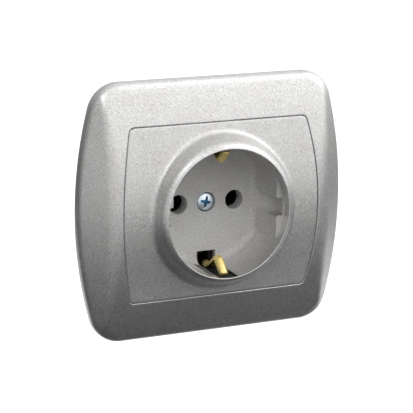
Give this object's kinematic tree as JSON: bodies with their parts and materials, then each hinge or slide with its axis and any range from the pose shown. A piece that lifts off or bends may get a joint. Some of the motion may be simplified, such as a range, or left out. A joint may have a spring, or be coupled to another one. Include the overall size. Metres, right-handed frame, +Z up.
{
  "type": "type f wall socket",
  "caption": "Flush wall socket with a bowed silver-grey frame, a round recessed bowl with sprung earth clips, and spreading claws on the steel plate behind it for fixing in a wall box.",
  "frame": {"origin": "middle of the outer frame on the wall's surface, which is also the middle of the box-screw slots on the back of the steel plate", "axes": "+X to the right seen from the room, +Y into the wall, +Z up"},
  "size_m": [0.0882, 0.0399, 0.08],
  "materials": {
    "silver_lacquer": "satin metallic silver lacquer with a fine flake",
    "zinc_screw": "bright blue-white zinc plating",
    "brass": "rolled, slightly dulled",
    "galvanised_sheet": "zinc-plated pressed sheet",
    "base_plastic": "moulded, fine matt grain"
  },
  "bodies": {
    "socket": {"outer_frame": "silver_lacquer", "socket_cover": "silver_lacquer", "cover_screw": "zinc_screw", "center_nut": "brass", "earth_bow": "brass", "contact_base": "base_plastic", "live_contact_left": "brass", "live_contact_right": "brass", "terminal_block_left": "brass", "terminal_block_right": "brass", "terminal_screw_left": "zinc_screw", "terminal_screw_right": "zinc_screw", "earth_terminal_block": "brass", "earth_terminal_screw": "zinc_screw", "support_frame": "galvanised_sheet", "base_rivets": "galvanised_sheet"},
    "left_claw": {"claw_left": "galvanised_sheet", "claw_screw_left": "zinc_screw"},
    "right_claw": {"claw_right": "galvanised_sheet", "claw_screw_right": "zinc_screw"}
  },
  "joints": [
    {"name": "left_claw_spread", "type": "hinge", "parent": "socket", "child": "left_claw", "pos_m": [-0.0256, -0.0029, 0], "axis": [0, 0, 1], "range_deg": [0, 16]},
    {"name": "right_claw_spread", "type": "hinge", "parent": "socket", "child": "right_claw", "pos_m": [0.0256, -0.0029, 0], "axis": [0, 0, -1], "range_deg": [0, 16]}
  ]
}
